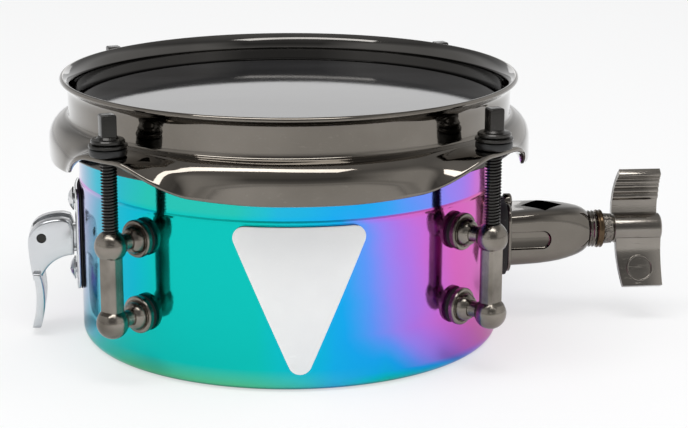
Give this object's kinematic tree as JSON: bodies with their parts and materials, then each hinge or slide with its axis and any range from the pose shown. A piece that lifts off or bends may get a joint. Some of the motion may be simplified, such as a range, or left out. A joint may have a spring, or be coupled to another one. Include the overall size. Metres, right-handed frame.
{
  "type": "micro snare drum",
  "caption": "Small single-headed steel snare drum with square-headed tension rods, barrel lugs, an inner snare carrier worked by a side throw-off, and a rod clamp with a wing nut.",
  "frame": {"origin": "centre of the bounding box, at the height of the shell's bottom edge", "axes": "+Z along the drum's axis from the open bottom to the head, +X from the throw-off to the rod clamp, +Y away from the badge"},
  "size_m": [0.2338, 0.1732, 0.0953],
  "materials": {
    "oil_slick_plating": "Mirror-bright plating with an iridescent colour that runs from violet through teal and blue to magenta",
    "black_nickel": "Polished black nickel plating, dark and warm grey",
    "chrome": "Bright polished chrome",
    "black_oxide": "Blackened steel, satin",
    "smoke_film": "Glossy smoke black polyester film",
    "aluminium": "Rolled aluminium",
    "black_rubber": "Black rubber gasket",
    "black_nylon": "Moulded black nylon",
    "brass": "Dull brass",
    "spring_steel": "Plain zinc-bright steel",
    "white_enamel": "Glossy white enamel plate with a fine dark border"
  },
  "bodies": {
    "drum": {"shell": "oil_slick_plating", "badge": "white_enamel", "lug_front_right": "black_nickel", "lug_back_right": "black_nickel", "lug_back_left": "black_nickel", "lug_front_left": "black_nickel", "lug_screw_front_right_lower": "spring_steel", "lug_screw_front_right_upper": "spring_steel", "lug_screw_back_right_lower": "spring_steel", "lug_screw_back_right_upper": "spring_steel", "lug_screw_back_left_lower": "spring_steel", "lug_screw_back_left_upper": "spring_steel", "lug_screw_front_left_lower": "spring_steel", "lug_screw_front_left_upper": "spring_steel", "throw_gasket": "black_rubber", "throw_plate": "chrome", "throw_screw_lower": "chrome", "throw_screw_upper": "chrome", "throw_nut_lower": "spring_steel", "throw_nut_upper": "spring_steel", "lever_pin": "black_oxide", "rod_bush": "black_nylon", "return_spring": "spring_steel", "lifter_bracket": "spring_steel", "hinge_bracket": "spring_steel", "carrier_pin": "spring_steel", "clamp_gasket": "black_rubber", "clamp_screw_lower": "spring_steel", "clamp_screw_upper": "spring_steel", "clamp_body": "black_nickel", "lock_washer": "black_nickel", "clamp_ring": "brass"},
    "rim": {"counter_hoop": "black_nickel", "flesh_hoop": "aluminium", "batter_film": "smoke_film", "rod_washer_front_right": "black_oxide", "rod_washer_back_right": "black_oxide", "rod_washer_back_left": "black_oxide", "rod_washer_front_left": "black_oxide", "rod_collar_front_right": "black_nylon", "rod_collar_back_right": "black_nylon", "rod_collar_back_left": "black_nylon", "rod_collar_front_left": "black_nylon"},
    "rod_front_right": {"tension_rod_front_right": "black_oxide"},
    "rod_back_right": {"tension_rod_back_right": "black_oxide"},
    "rod_back_left": {"tension_rod_back_left": "black_oxide"},
    "rod_front_left": {"tension_rod_front_left": "black_oxide"},
    "lever": {"throw_lever": "chrome"},
    "lifter": {"push_rod": "chrome", "lifter_wedge": "black_nylon"},
    "carrier": {"snare_carrier": "spring_steel", "carrier_leg": "black_nylon", "snare_wires": "spring_steel"},
    "bolt": {"clamp_bolt": "chrome"},
    "wing": {"wing_nut": "black_nickel"}
  },
  "joints": [
    {"name": "rim_slide", "type": "slide", "parent": "drum", "child": "rim", "axis": [0, 0, 1], "range_m": [0, 0.0025]},
    {"name": "rod_turn_front_right", "type": "hinge", "parent": "rim", "child": "rod_front_right", "pos_m": [0.04236, -0.06406, 0.085], "axis": [0, 0, 1], "range_deg": [0, 900]},
    {"name": "rod_turn_back_right", "type": "hinge", "parent": "rim", "child": "rod_back_right", "pos_m": [0.04236, 0.06406, 0.085], "axis": [0, 0, 1], "range_deg": [0, 900]},
    {"name": "rod_turn_back_left", "type": "hinge", "parent": "rim", "child": "rod_back_left", "pos_m": [-0.08576, 0.06406, 0.085], "axis": [0, 0, 1], "range_deg": [0, 900]},
    {"name": "rod_turn_front_left", "type": "hinge", "parent": "rim", "child": "rod_front_left", "pos_m": [-0.08576, -0.06406, 0.085], "axis": [0, 0, 1], "range_deg": [0, 900]},
    {"name": "lever_hinge", "type": "hinge", "parent": "drum", "child": "lever", "pos_m": [-0.112, 0, 0.0365], "axis": [0, 1, 0], "range_deg": [0, 80.3]},
    {"name": "push_rod_slide", "type": "slide", "parent": "drum", "child": "lifter", "axis": [-1, 0, 0], "range_m": [0, 0.005], "deforming": ["return_spring"]},
    {"name": "carrier_hinge", "type": "hinge", "parent": "drum", "child": "carrier", "pos_m": [0.0403, 0, 0.0765], "axis": [0, -1, 0], "range_deg": [0, 1.81]},
    {"name": "wing_turn", "type": "hinge", "parent": "drum", "child": "wing", "pos_m": [0.108, 0, 0.0337], "axis": [1, 0, 0], "range_deg": [0, 900]},
    {"name": "eye_bolt_slide", "type": "slide", "parent": "drum", "child": "bolt", "axis": [-1, 0, 0], "range_m": [0, 0.0025]}
  ],
  "couplings": [
    {"joint": "rod_turn_front_right", "follows": "rim_slide", "rad_per_m": 6283.2},
    {"joint": "rod_turn_back_right", "follows": "rim_slide", "rad_per_m": 6283.2},
    {"joint": "rod_turn_back_left", "follows": "rim_slide", "rad_per_m": 6283.2},
    {"joint": "rod_turn_front_left", "follows": "rim_slide", "rad_per_m": 6283.2},
    {"joint": "lever_hinge", "follows": "push_rod_slide", "rad_per_m": 279.25},
    {"joint": "carrier_hinge", "follows": "push_rod_slide", "rad_per_m": 6.2832},
    {"joint": "wing_turn", "follows": "eye_bolt_slide", "rad_per_m": 6283.2}
  ]
}
